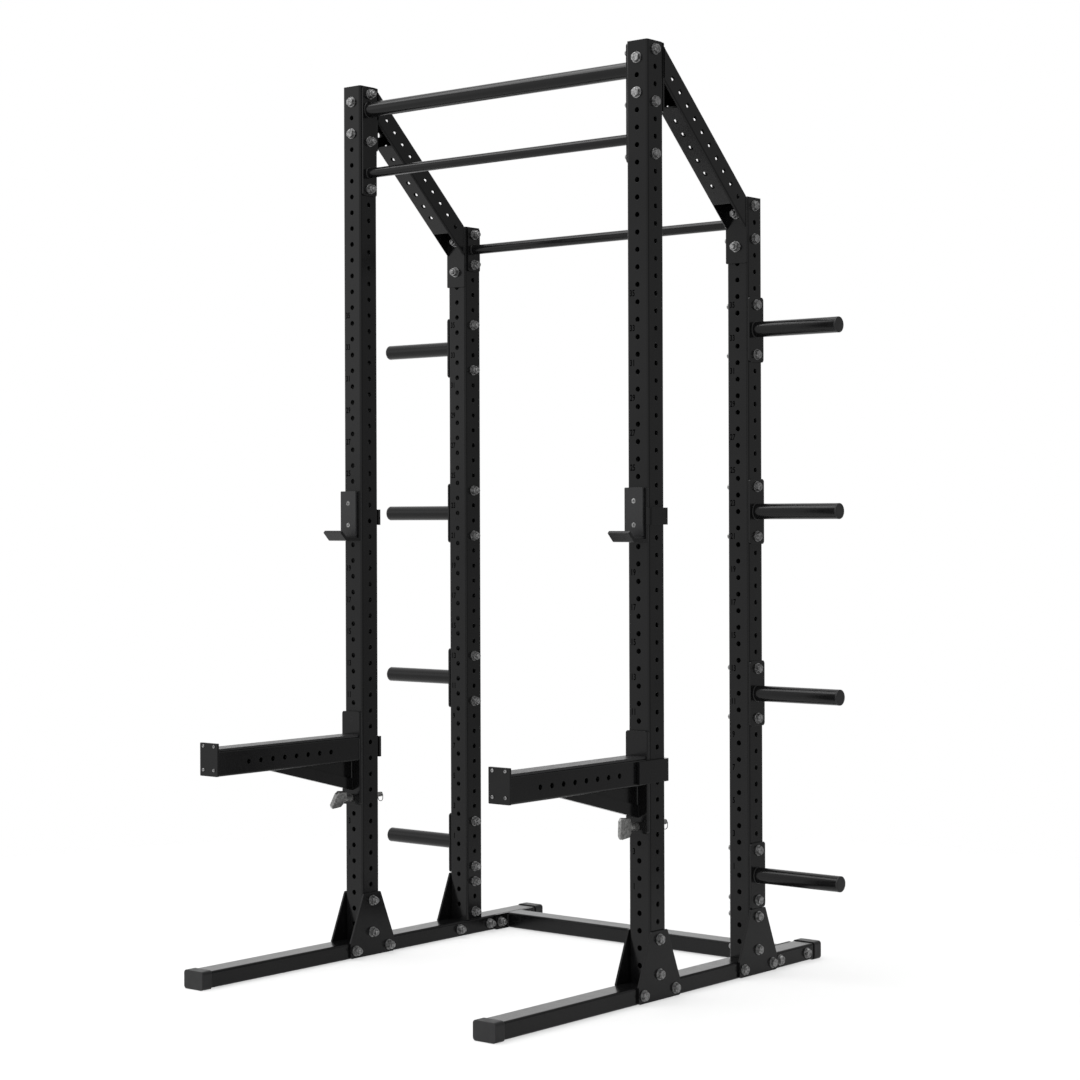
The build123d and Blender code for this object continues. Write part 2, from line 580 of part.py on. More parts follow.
for x in (-STOP_SCREW_X, STOP_SCREW_X):
    z = STOP_SCREW_LEVELS[0]
    arm -= rod(stop_r + SCREW_GAP, (x, -ARM_TIP - 1, z), (x, PLATE - ARM_TIP + 1, z))
arm_liner = along(panel(TUBE, plate_h, ARM_PLATE_R, (0, plate_mid)), arm_back, liner_back)
for z in (hitch_z, arm_pin_z):
    arm_liner -= rod(HOLE_D / 2 + 0.5, (0, arm_back - 1, z), (0, liner_back + 1, z))
strip = block((-ARM_STRIP_W / 2, ARM_STRIP_W / 2), (-ARM_TIP, arm_face), (arm_top, arm_top + ARM_STRIP_T))
strip = chamfer(strip.edges().filter_by(Axis.Y).group_by(Axis.Z)[-1], 1.5)
stop_outline = panel(TUBE, STOP_TOP - ARM_BOTTOM, STOP_R, (0, (STOP_TOP + ARM_BOTTOM) / 2))
stop = along(stop_outline, -ARM_TIP - PLATE, -ARM_TIP)
stop_screws = []
for x in (-STOP_SCREW_X, STOP_SCREW_X):
    for z in STOP_SCREW_LEVELS:
        stop -= rod(stop_r + SCREW_GAP, (x, -ARM_TIP - PLATE - 1, z), (x, 1 - ARM_TIP, z))
        front = Plane(origin=(x, -ARM_TIP - PLATE, z), z_dir=(0, -1, 0))
        head = Cylinder(STOP_HEAD_D / 2, STOP_HEAD_H, align=START)
        head = fillet(head.edges().sort_by(Axis.Z)[-1], 1.3)
        head -= upward(RegularPolygon(2.0, 6, major_radius=False), 1.2, 6)
        screw = front * head + rod(stop_r, (x, -ARM_TIP - PLATE, z), (x, -ARM_TIP, z))
        stop_screws.append(screw)
arm_pieces = {
    "arm": arm, "liner": arm_liner, "strip": strip, "stop": stop,
    "pin": Pos(0, 0, arm_pin_z) * fixed_pin(arm_face)}
all_stop_screws = []
for side, sign in SIDES.items():
    place = Pos(UPRIGHT_X, FRONT_Y, DECK)
    for name, solid in arm_pieces.items():
        save(mirrored(place * solid, sign), f"spotter_{name}_{side}")
    all_stop_screws += [mirrored(place * screw, sign) for screw in stop_screws]
save(all_stop_screws, "spotter_stop_screws")

# ---- hitch pins: cast paddle, shaft through both walls, wire ring through the tip
collar_back = arm_face - FACE_GAP
collar_front = collar_back - HITCH_COLLAR_L
handle_end = collar_front - HANDLE_L
shaft = rod(PIN_R, (0, collar_front - 2, 0), (0, HITCH_TIP, 0))
shaft = chamfer(shaft.edges().sort_by(Axis.Y)[-1], HITCH_TAPER)
neck = Plane(origin=(0, collar_front - 2, 0), z_dir=(0, 1, 0))
collar = neck * Cone(HITCH_COLLAR_D / 2 - 3, HITCH_COLLAR_D / 2, HITCH_COLLAR_L + 2, align=START)
collar = fillet(collar.edges().sort_by(Axis.Y)[-1], 1.5)
paddle_outline = shape(
    (collar_front + 3, -9), (collar_front + 3, 9), (collar_front - 6, HANDLE_HALF - 4),
    (handle_end + 8, HANDLE_HALF), (handle_end, HANDLE_HALF - 10), (handle_end, -HANDLE_HALF + 10),
    (handle_end + 8, -HANDLE_HALF), (collar_front - 6, -HANDLE_HALF + 4), radius=5.0)
paddle = across(paddle_outline, -HANDLE_T / 2, HANDLE_T / 2)
flat_faces = paddle.faces().filter_by(Axis.X)
paddle = fillet([e for face in flat_faces for e in face.edges()], 3.0)
ring_hole = rod(WIRE_R + RING_GAP, (-20, RING_HOLE_Y, 0), (20, RING_HOLE_Y, 0))
run = RING_HALF - RING_CORNER
low_arc = -RING_HALF - 1.0
bend = RING_CORNER * 0.70711
path = Wire([
    Edge.make_line((0, 0, 0), (run, 0, 0)),
    Edge.make_three_point_arc((run, 0, 0), (run + bend, 0, bend - RING_CORNER), (RING_HALF, 0, -RING_CORNER)),
    Edge.make_line((RING_HALF, 0, -RING_CORNER), (RING_HALF, 0, low_arc)),
    Edge.make_three_point_arc(
        (RING_HALF, 0, low_arc), (0.70711 * RING_HALF, 0, low_arc - 0.70711 * RING_HALF),
        (0, 0, low_arc - RING_HALF))])
half_ring = sweep(Plane(origin=(0, 0, 0), z_dir=(1, 0, 0)) * Circle(WIRE_R), path=path)
ring = half_ring + mirror(half_ring, about=Plane.YZ)
for side, sign in SIDES.items():
    place = Pos(sign * UPRIGHT_X, FRONT_Y, level(HITCH_LEVEL))
    pin = shaft - ring_hole
    pin += Rot(0, HANDLE_ROLL[side], 0) * (collar + paddle)
    save(place * pin, f"hitch_pin_{side}")
    save(place * Pos(0, RING_HOLE_Y, 0) * ring, f"hitch_ring_{side}")
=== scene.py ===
"""Looks of a half-rack style power cage, laid out as an add-on and run as a script."""
import json
import math

import bmesh
import bpy
from mathutils import Matrix, Vector


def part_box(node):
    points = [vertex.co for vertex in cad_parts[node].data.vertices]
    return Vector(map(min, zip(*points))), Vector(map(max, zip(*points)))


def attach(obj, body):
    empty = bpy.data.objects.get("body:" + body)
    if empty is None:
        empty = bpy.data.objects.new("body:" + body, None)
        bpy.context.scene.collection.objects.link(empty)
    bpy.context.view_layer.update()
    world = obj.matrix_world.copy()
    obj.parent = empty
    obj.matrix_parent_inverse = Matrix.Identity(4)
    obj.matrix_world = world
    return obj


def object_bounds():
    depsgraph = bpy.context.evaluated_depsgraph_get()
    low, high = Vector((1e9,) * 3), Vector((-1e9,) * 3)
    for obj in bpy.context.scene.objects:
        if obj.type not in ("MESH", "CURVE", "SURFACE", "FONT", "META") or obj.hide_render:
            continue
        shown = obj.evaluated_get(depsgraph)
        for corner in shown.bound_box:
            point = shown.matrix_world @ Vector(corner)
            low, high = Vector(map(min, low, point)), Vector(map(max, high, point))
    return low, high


bl_info = {
    "name": "Power Cage Finish",
    "version": (1, 0, 0),
    "blender": (4, 5, 0),
    "location": "View3D > Sidebar > Power Cage",
    "description": "Coats, marks, welds and lights a packed power cage",
    "category": "Object",
}

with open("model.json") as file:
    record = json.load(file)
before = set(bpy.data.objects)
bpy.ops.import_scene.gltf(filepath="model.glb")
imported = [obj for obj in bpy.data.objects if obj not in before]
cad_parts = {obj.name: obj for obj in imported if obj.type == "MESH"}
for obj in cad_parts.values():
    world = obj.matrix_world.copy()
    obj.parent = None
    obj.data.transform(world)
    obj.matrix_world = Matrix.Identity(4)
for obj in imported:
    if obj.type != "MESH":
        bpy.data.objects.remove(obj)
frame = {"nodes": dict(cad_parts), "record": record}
CAD_LOW, CAD_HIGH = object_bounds()
NODES = frame["nodes"]
SIDES = ("left", "right")

SLOT_OF = {entry["node"]: entry["material_slot"] for entry in frame["record"]["subparts"]}


# ---------------------------------------------------------------- places read from the frame
def centre(node):
    low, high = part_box(node)
    return (low + high) / 2


def size(node):
    low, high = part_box(node)
    return high - low


PITCH = 0.0508                 # hole pitch
TUBE_HALF = 0.0381             # half the square tube's width
FAT_BAR_R = 0.02415            # upper pull-up bar and weight pegs
THIN_BAR_R = 0.015875
BAR_LEVELS = {                 # hole counts of each bar's middle, with its radius
    "front_pull_up_bars": ((52.5, FAT_BAR_R), (48.5, THIN_BAR_R)),
    "rear_pull_up_bar": ((44.5, THIN_BAR_R),),
}
BRACE_FOOT = 0.4823            # lowest point of the spotter brace above the uprights' foot
BRACE_RUN = 0.380              # reach of the brace under the arm
BRACE_HALF = 0.0032            # half the brace's thickness
CAP_SHARE = 0.72               # height of a digit against the font's size
MARK_LIFT = 0.0002             # numbers lie this far off the face
BEAD_ARC = 6                   # points across a weld's face
RIPPLE_STEPS = 4               # points along one weld ripple
ROUND_STEPS = 64               # points round a pipe
UPRIGHT_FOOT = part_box("upright_front_right")[0].z


def level(count):
    """Height of a hole counted up from the foot of the uprights."""
    return UPRIGHT_FOOT + count * PITCH


# ---------------------------------------------------------------- settings
class CageCoatSettings(bpy.types.PropertyGroup):
    """Colours and finish of the cage's surfaces."""

    coat_colour: bpy.props.FloatVectorProperty(
        name="Powder coat", description="Base colour of the coated steel",
        default=(0.0040, 0.0040, 0.0042), size=3, min=0.0, max=1.0, subtype="COLOR")
    coat_roughness: bpy.props.FloatProperty(
        name="Coat roughness", description="Gloss of the coated steel, lower is shinier",
        default=0.17, min=0.02, max=1.0, subtype="FACTOR")
    coat_ior: bpy.props.FloatProperty(
        name="Coat index", description="Refractive index of the coat, which sets how much it reflects",
        default=1.305, min=1.1, max=2.0)
    orange_peel: bpy.props.FloatProperty(
        name="Orange peel", description="Height of the coat's fine waviness",
        default=0.00012, min=0.0, max=0.002, unit="LENGTH", precision=6)
    edge_round: bpy.props.FloatProperty(
        name="Edge round", description="Radius that the coat gives to cut edges",
        default=0.0011, min=0.0, max=0.004, unit="LENGTH", precision=5)
    zinc_colour: bpy.props.FloatVectorProperty(
        name="Zinc", description="Colour of the plated bolts, nuts and washers",
        default=(0.22, 0.22, 0.22), size=3, min=0.0, max=1.0, subtype="COLOR")
    cast_colour: bpy.props.FloatVectorProperty(
        name="Cast handle", description="Colour of the hitch pins and their handles",
        default=(0.24, 0.24, 0.235), size=3, min=0.0, max=1.0, subtype="COLOR")
    wire_colour: bpy.props.FloatVectorProperty(
        name="Wire", description="Colour of the spring wire rings",
        default=(0.10, 0.10, 0.10), size=3, min=0.0, max=1.0, subtype="COLOR")
    plastic_colour: bpy.props.FloatVectorProperty(
        name="Moulded plastic", description="Colour of the end caps and plugs",
        default=(0.0075, 0.0075, 0.0080), size=3, min=0.0, max=1.0, subtype="COLOR")
    liner_colour: bpy.props.FloatVectorProperty(
        name="Liner", description="Colour of the low-friction pads and strips",
        default=(0.0105, 0.0105, 0.0112), size=3, min=0.0, max=1.0, subtype="COLOR")
    # painted shade: the colour of the unlit inside of the tube, seen through each cut number
    cut_colour: bpy.props.FloatVectorProperty(
        name="Cut numbers", description="Colour seen inside the cut numbers",
        default=(0.0012, 0.0012, 0.0013), size=3, min=0.0, max=1.0, subtype="COLOR")


class CageMarkSettings(bpy.types.PropertyGroup):
    """Sizes of the numbers and the weld beads."""

    mark_height: bpy.props.FloatProperty(
        name="Number height", description="Height of the cut numbers",
        default=0.0185, min=0.005, max=0.04, unit="LENGTH", precision=4)
    mark_squeeze: bpy.props.FloatProperty(
        name="Number width", description="Width of a digit against its height",
        default=0.72, min=0.3, max=1.2, subtype="FACTOR")
    mark_offset: bpy.props.FloatProperty(
        name="Number offset", description="Distance from the hole column to the number's middle",
        default=0.0192, min=0.01, max=0.03, unit="LENGTH", precision=4)
    mark_weight: bpy.props.FloatProperty(
        name="Number weight", description="How much each stroke of a digit is thickened",
        default=0.00055, min=0.0, max=0.002, unit="LENGTH", precision=5)
    highest_mark: bpy.props.IntProperty(
        name="Highest number", description="Last odd number cut into each face",
        default=35, min=1, max=49)
    bead_radius: bpy.props.FloatProperty(
        name="Weld size", description="Leg of a fillet weld",
        default=0.0034, min=0.001, max=0.008, unit="LENGTH", precision=4)
    ripple_pitch: bpy.props.FloatProperty(
        name="Weld ripple", description="Length of one ripple along a weld",
        default=0.0042, min=0.001, max=0.02, unit="LENGTH", precision=4)


class CageStageSettings(bpy.types.PropertyGroup):
    """Camera, lights and floor."""

    camera_place: bpy.props.FloatVectorProperty(
        name="Camera", description="Where the camera stands",
        default=(4.7638, -5.6376, 1.4055), size=3, subtype="TRANSLATION", unit="LENGTH")
    camera_heading: bpy.props.FloatProperty(
        name="Heading", description="Turn of the view from straight at the front",
        default=math.radians(39.495), subtype="ANGLE")
    camera_dip: bpy.props.FloatProperty(
        name="Dip", description="Angle of the view below the horizon",
        default=math.radians(0.016), subtype="ANGLE")
    camera_roll: bpy.props.FloatProperty(
        name="Roll", description="Turn of the camera about its view",
        default=math.radians(-0.189), subtype="ANGLE")
    lens: bpy.props.FloatProperty(
        name="Lens", description="Focal length on a 36 mm sensor, in millimetres",
        default=79.467, min=10.0, max=300.0)
    rise: bpy.props.FloatProperty(
        name="Rise", description="Vertical shift of the lens",
        default=-0.01914, min=-0.2, max=0.2)
    floor_size: bpy.props.FloatProperty(
        name="Floor", description="Side of the floor sheet",
        default=60.0, min=5.0, max=200.0, unit="LENGTH")
    floor_cover: bpy.props.FloatProperty(
        name="Floor cover", description="How much of the floor's shadow is kept near the cage",
        default=0.38, min=0.0, max=1.0, subtype="FACTOR")
    studio_level: bpy.props.FloatProperty(
        name="Studio level", description="Brightness of the white studio all round",
        default=1.0, min=0.0, max=5.0)
    far_side_level: bpy.props.FloatProperty(
        name="Far side level", description="Brightness of the studio behind the right side",
        default=0.42, min=0.0, max=5.0)


# ---------------------------------------------------------------- material helpers
def new_material(name):
    material = bpy.data.materials.new(name)
    material.use_nodes = True
    tree = material.node_tree
    shader = tree.nodes["Principled BSDF"]
    return material, tree, shader


def add(tree, kind, **values):
    """A node with its properties and unlinked inputs set."""
    node = tree.nodes.new(kind)
    for key, value in values.items():
        if key in node.inputs:
            node.inputs[key].default_value = value
        else:
            setattr(node, key, value)
    return node


def noise(tree, scale, detail=2.0, roughness=0.5, distortion=0.0, stretch=None):
    """Noise laid through the piece in its own coordinates."""
    place = add(tree, "ShaderNodeTexCoord")
    source = place.outputs["Object"]
    if stretch:
        mapping = add(tree, "ShaderNodeMapping")
        mapping.inputs["Scale"].default_value = stretch
        tree.links.new(source, mapping.inputs["Vector"])
        source = mapping.outputs["Vector"]
    node = add(tree, "ShaderNodeTexNoise", Scale=scale, Detail=detail, Roughness=roughness,
               Distortion=distortion)
    tree.links.new(source, node.inputs["Vector"])
    return node.outputs["Fac"]


def spread(tree, source, low, high, from_low=0.3, from_high=0.7):
    """Map a noise onto a range of values."""
    node = add(tree, "ShaderNodeMapRange")
    node.inputs["From Min"].default_value = from_low
    node.inputs["From Max"].default_value = from_high
    node.inputs["To Min"].default_value = low
    node.inputs["To Max"].default_value = high
    tree.links.new(source, node.inputs["Value"])
    return node.outputs["Result"]


def two_tone(tree, source, first, second):
    """Colour that drifts between two tones."""
    node = add(tree, "ShaderNodeMix", data_type="RGBA")
    colour_inputs = [s for s in node.inputs if s.type == "RGBA"]
    colour_inputs[0].default_value = (*first, 1.0)
    colour_inputs[1].default_value = (*second, 1.0)
    tree.links.new(source, node.inputs["Factor"])
    return next(s for s in node.outputs if s.type == "RGBA")


def bump(tree, shader, source, distance, strength=1.0, round_edge=0.0, under=None):
    """Fine relief on the shader's normal, over softly rounded edges."""
    node = add(tree, "ShaderNodeBump", Strength=strength, Distance=distance)
    tree.links.new(source, node.inputs["Height"])
    if under is not None:
        tree.links.new(under, node.inputs["Normal"])
    elif round_edge:
        rounding = add(tree, "ShaderNodeBevel", samples=6, Radius=round_edge)
        tree.links.new(rounding.outputs["Normal"], node.inputs["Normal"])
    tree.links.new(node.outputs["Normal"], shader.inputs["Normal"])
    return node.outputs["Normal"]


def tinted(colour, factor):
    return tuple(min(1.0, channel * factor) for channel in colour)


# ---------------------------------------------------------------- the finishes
def make_coat(name="gloss_black_coat"):
    """Black powder coat: deep gloss, slight orange peel, faint handling haze, softly rounded edges."""
    look = bpy.context.scene.cage_coat
    material, tree, shader = new_material(name)
    drift = noise(tree, 5.0, detail=4.0, roughness=0.6)
    base = two_tone(tree, spread(tree, drift, 0.0, 1.0), tinted(look.coat_colour, 0.82),
                    tinted(look.coat_colour, 1.25))
    tree.links.new(base, shader.inputs["Base Color"])
    haze = noise(tree, 22.0, detail=5.0, roughness=0.65, distortion=0.4)
    gloss = spread(tree, haze, look.coat_roughness * 0.82, look.coat_roughness * 1.28)
    tree.links.new(gloss, shader.inputs["Roughness"])
    shader.inputs["IOR"].default_value = look.coat_ior
    peel = noise(tree, 420.0, detail=2.0, roughness=0.45)
    wave = noise(tree, 60.0, detail=1.0)
    slow = bump(tree, shader, wave, look.orange_peel * 2.0, 0.35, round_edge=look.edge_round)
    bump(tree, shader, peel, look.orange_peel, 0.55, under=slow)
    return material


def make_zinc(name="dull_zinc_plate"):
    """Zinc plated steel: grey, softly mottled, fine turning marks."""
    look = bpy.context.scene.cage_coat
    material, tree, shader = new_material(name)
    mottle = noise(tree, 150.0, detail=3.0, roughness=0.6, distortion=0.6)
    base = two_tone(tree, spread(tree, mottle, 0.0, 1.0, 0.40, 0.60), tinted(look.zinc_colour, 0.55),
                    tinted(look.zinc_colour, 1.55))
    tree.links.new(base, shader.inputs["Base Color"])
    tree.links.new(spread(tree, noise(tree, 140.0, detail=3.0), 0.30, 0.50), shader.inputs["Roughness"])
    shader.inputs["Metallic"].default_value = 0.85
    bump(tree, shader, mottle, 0.0009, 0.6, round_edge=0.0007)
    return material


def make_cast(name="cast_silver"):
    """Cast and tumbled steel: bright, slightly pitted."""
    look = bpy.context.scene.cage_coat
    material, tree, shader = new_material(name)
    grain = noise(tree, 110.0, detail=5.0, roughness=0.65, distortion=0.5)
    base = two_tone(tree, spread(tree, grain, 0.0, 1.0, 0.38, 0.62), tinted(look.cast_colour, 0.60),
                    tinted(look.cast_colour, 1.35))
    tree.links.new(base, shader.inputs["Base Color"])
    tree.links.new(spread(tree, noise(tree, 90.0, detail=3.0), 0.24, 0.42), shader.inputs["Roughness"])
    shader.inputs["Metallic"].default_value = 0.80
    bump(tree, shader, grain, 0.0012, 0.5, round_edge=0.0010)
    return material


def make_wire(name="darkened_spring_wire"):
    """Oil-darkened wire: drawn marks along it and a dull, uneven shine."""
    look = bpy.context.scene.cage_coat
    material, tree, shader = new_material(name)
    drawn = noise(tree, 160.0, detail=3.0, roughness=0.6)
    base = two_tone(tree, spread(tree, drawn, 0.0, 1.0), tinted(look.wire_colour, 0.7),
                    tinted(look.wire_colour, 1.3))
    tree.links.new(base, shader.inputs["Base Color"])
    tree.links.new(spread(tree, drawn, 0.34, 0.52), shader.inputs["Roughness"])
    shader.inputs["Metallic"].default_value = 0.7
    bump(tree, shader, noise(tree, 1200.0, detail=2.0), 0.00006, 0.4)
    return material


def make_plastic(name="moulded_black_plastic"):
    """Moulded end caps: satin, stippled like spark-eroded tooling."""
    look = bpy.context.scene.cage_coat
    material, tree, shader = new_material(name)
    base = two_tone(tree, spread(tree, noise(tree, 14.0, detail=3.0), 0.0, 1.0),
                    tinted(look.plastic_colour, 0.85), tinted(look.plastic_colour, 1.3))
    tree.links.new(base, shader.inputs["Base Color"])
    tree.links.new(spread(tree, noise(tree, 40.0, detail=4.0), 0.36, 0.52), shader.inputs["Roughness"])
    shader.inputs["IOR"].default_value = 1.40
    bump(tree, shader, noise(tree, 900.0, detail=3.0, roughness=0.7), 0.00014, 0.6, round_edge=0.0010)
    return material


def make_liner(name="black_slip_sheet"):
    """Low-friction sheet: waxy, with fine sawn and planed marks along the piece."""
    look = bpy.context.scene.cage_coat
    material, tree, shader = new_material(name)
    planed = noise(tree, 60.0, detail=3.0, stretch=(8.0, 0.6, 8.0))
    base = two_tone(tree, spread(tree, planed, 0.0, 1.0), tinted(look.liner_colour, 0.85),
                    tinted(look.liner_colour, 1.3))
    tree.links.new(base, shader.inputs["Base Color"])
    tree.links.new(spread(tree, planed, 0.28, 0.44), shader.inputs["Roughness"])
    shader.inputs["IOR"].default_value = 1.40
    bump(tree, shader, planed, 0.00010, 0.5, round_edge=0.0009)
    return material


def make_cut(name="cut_number_shadow"):
    """What shows inside a cut number: the dark, unlit inside of the tube."""
    look = bpy.context.scene.cage_coat
    material, tree, shader = new_material(name)
    base = two_tone(tree, noise(tree, 900.0, detail=2.0), tinted(look.cut_colour, 0.6), look.cut_colour)
    tree.links.new(base, shader.inputs["Base Color"])
    shader.inputs["Roughness"].default_value = 1.0
    shader.inputs["IOR"].default_value = 1.0
    shader.inputs["Specular IOR Level"].default_value = 0.0
    return material


def make_floor(name="white_studio_floor"):
    """Seamless white floor with a trace of unevenness, thinning out into the white all round."""
    material, tree, shader = new_material(name)
    base = two_tone(tree, noise(tree, 1.2, detail=2.0), (0.93, 0.93, 0.93), (0.95, 0.95, 0.95))
    tree.links.new(base, shader.inputs["Base Color"])
    shader.inputs["Roughness"].default_value = 0.9
    shader.inputs["IOR"].default_value = 1.05
    place = add(tree, "ShaderNodeTexCoord")
    far = add(tree, "ShaderNodeVectorMath", operation="LENGTH")
    tree.links.new(place.outputs["Object"], far.inputs[0])
    cover = bpy.context.scene.cage_stage.floor_cover
    thinning = spread(tree, far.outputs["Value"], cover, 0.0, 1.6, 3.4)
    tree.links.new(thinning, shader.inputs["Alpha"])
    return material


SLOT_FINISHES = {
    "black_coat": make_coat,
    "zinc_fasteners": make_zinc,
    "cast_steel": make_cast,
    "dark_wire": make_wire,
    "black_plastic": make_plastic,
    "black_liner": make_liner,
}


def finish_for(slot):
    """The one material of a slot, made when first asked for."""
    maker = SLOT_FINISHES[slot]
    name = maker.__defaults__[0]
    return bpy.data.materials.get(name) or maker()


def dress(nodes):
    """Give CAD nodes their slot's finish."""
    for node in nodes:
        piece = NODES[node]
        piece.data.materials.clear()
        piece.data.materials.append(finish_for(SLOT_OF[node]))


# ---------------------------------------------------------------- mesh helpers
def mesh_piece(name, build, material, body):
    """A new piece: build(bm) draws it in the cage's own metres."""
    bm = bmesh.new()
    build(bm)
    mesh = bpy.data.meshes.new(name)
    bmesh.ops.recalc_face_normals(bm, faces=bm.faces)
    bm.to_mesh(mesh)
    bm.free()
    piece = bpy.data.objects.new(name, mesh)
    bpy.context.scene.collection.objects.link(piece)
    mesh.materials.append(material)
    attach(piece, body)
    return piece


def sweep_bead(bm, points, inward, closed=False):
    """Rippled fillet weld along points; inward(point) gives the two wall directions it fills between."""
    marks = bpy.context.scene.cage_marks
    radius = marks.bead_radius
    spine = resample([Vector(p) for p in points], marks.ripple_pitch / RIPPLE_STEPS, closed)
    rows = []
    count = len(spine)
    for i, spot in enumerate(spine):
        wall_a, wall_b = inward(spot)
        phase = (i % RIPPLE_STEPS) / RIPPLE_STEPS
        swell = radius * (0.88 + 0.16 * math.sin(math.pi * phase))
        ring = []
        for step in range(BEAD_ARC):
            turn = step / (BEAD_ARC - 1)
            reach = swell * (1.0 - 0.26 * math.sin(math.pi * turn))
            quarter = turn * math.pi / 2
            toward = wall_a * math.cos(quarter) + wall_b * math.sin(quarter)
            ring.append(bm.verts.new(spot + reach * toward))
        ring.append(bm.verts.new(spot - (wall_a + wall_b) * 0.0002))
        rows.append(ring)
    last = count if closed else count - 1
    for i in range(last):
        a, b = rows[i], rows[(i + 1) % count]
        for j in range(BEAD_ARC + 1):
            k = (j + 1) % (BEAD_ARC + 1)
            face = bm.faces.new((a[j], a[k], b[k], b[j]))
            face.smooth = j < BEAD_ARC - 1
    if not closed:
        bm.faces.new(rows[0])
        bm.faces.new(list(reversed(rows[-1])))


def resample(points, step, closed):
    """Even steps along a broken line."""
    if closed:
        points = points + [points[0]]
    lengths = [(b - a).length for a, b in zip(points, points[1:])]
    total = sum(lengths)
    count = RIPPLE_STEPS * max(1, round(total / step / RIPPLE_STEPS))
    wanted = [total * i / count for i in range(count if closed else count + 1)]
    out, index, done = [], 0, 0.0
    for target in wanted:
        while index < len(lengths) - 1 and done + lengths[index] < target:
            done += lengths[index]
            index += 1
        share = (target - done) / lengths[index] if lengths[index] else 0.0
        out.append(points[index].lerp(points[index + 1], min(1.0, share)))
    return out


def circle_weld(bm, middle, axis, pipe_radius):
    """Weld round a pipe where it meets a plate; axis points away from the plate."""
    axis = Vector(axis)
    side = axis.orthogonal().normalized()
    other = axis.cross(side)
    middle = Vector(middle)
    angles = [math.tau * i / ROUND_STEPS for i in range(ROUND_STEPS)]
    spots = [middle + pipe_radius * (side * math.cos(a) + other * math.sin(a)) for a in angles]
    sweep_bead(bm, spots, lambda p: ((p - middle).normalized(), axis), closed=True)


def line_weld(bm, start, end, wall_a, wall_b):
    """Straight weld in the corner between two walls."""
    a, b = Vector(wall_a).normalized(), Vector(wall_b).normalized()
    sweep_bead(bm, [start, end], lambda p: (a, b))


# ---------------------------------------------------------------- operators
class CAGE_OT_coat_frame(bpy.types.Operator):
    """Coat the uprights, base, rails, gussets, bars and pegs."""
    bl_idname = "cage.coat_frame"
    bl_label = "Coat frame"

    def execute(self, context):
        dress([n for n in NODES if SLOT_OF[n] == "black_coat"])
        return {"FINISHED"}


class CAGE_OT_plate_fasteners(bpy.types.Operator):
    """Plate the bolts, washers, nuts and screws."""
    bl_idname = "cage.plate_fasteners"
    bl_label = "Plate fasteners"

    def execute(self, context):
        dress([n for n in NODES if SLOT_OF[n] == "zinc_fasteners"])
        return {"FINISHED"}


class CAGE_OT_dress_plastics(bpy.types.Operator):
    """Give the end caps, plugs, pads, strips and liners their plastics."""
    bl_idname = "cage.dress_plastics"
    bl_label = "Dress plastics"

    def execute(self, context):
        dress([n for n in NODES if SLOT_OF[n] in ("black_plastic", "black_liner")])
        return {"FINISHED"}


class CAGE_OT_finish_hitch_pins(bpy.types.Operator):
    """Give the hitch pins their cast steel and the rings their dark wire."""
    bl_idname = "cage.finish_hitch_pins"
    bl_label = "Finish hitch pins"

    def execute(self, context):
        dress([n for n in NODES if SLOT_OF[n] in ("cast_steel", "dark_wire")])
        return {"FINISHED"}


class CAGE_OT_cut_numbers(bpy.types.Operator):
    """Cut odd hole numbers beside the front and rear hole columns of every upright, laid as dark
    number-shaped sheets just off each face: painted shade for the unlit inside of the tube.
    """
    bl_idname = "cage.cut_numbers"
    bl_label = "Cut numbers"

    def digit_mesh(self, text, marks):
        curve = bpy.data.curves.new("mark_draft", "FONT")
        curve.body = text
        curve.align_x = "CENTER"
        curve.align_y = "CENTER"
        curve.size = marks.mark_height / CAP_SHARE
        curve.resolution_u = 3
        curve.offset = marks.mark_weight
        curve.space_character = 1.06
        draft = bpy.data.objects.new("mark_draft", curve)
        bpy.context.scene.collection.objects.link(draft)
        bpy.context.view_layer.update()
        mesh = bpy.data.meshes.new_from_object(draft.evaluated_get(bpy.context.evaluated_depsgraph_get()))
        bpy.data.objects.remove(draft)
        bpy.data.curves.remove(curve)
        return mesh

    def execute(self, context):
        marks = context.scene.cage_marks
        shadow = make_cut()
        drafts = {n: self.digit_mesh(str(n), marks) for n in range(1, marks.highest_mark + 1, 2)}
        for row in ("front", "rear"):
            for side in SIDES:
                node = f"upright_{row}_{side}"
                low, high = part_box(node)
                faces = (("front", low.y - MARK_LIFT, 0.0), ("rear", high.y + MARK_LIFT, math.pi))
                for face, y, turn in faces:
                    offset = -marks.mark_offset if turn == 0.0 else marks.mark_offset

                    def build(bm, y=y, turn=turn, offset=offset, node=node):
                        for number, draft in drafts.items():
                            spot = Vector((centre(node).x + offset, y, level(number + 4.5)))
                            place = (Matrix.Translation(spot) @ Matrix.Rotation(turn, 4, "Z")
                                     @ Matrix.Rotation(math.pi / 2, 4, "X")
                                     @ Matrix.Diagonal((marks.mark_squeeze, 1.0, 1.0, 1.0)))
                            start = len(bm.verts)
                            bm.from_mesh(draft)
                            bm.verts.ensure_lookup_table()
                            for vert in bm.verts[start:]:
                                vert.co = place @ vert.co

                    mesh_piece(f"hole_numbers_{row}_{side}_{face}", build, shadow, "frame")
        for draft in drafts.values():
            bpy.data.meshes.remove(draft)
        return {"FINISHED"}


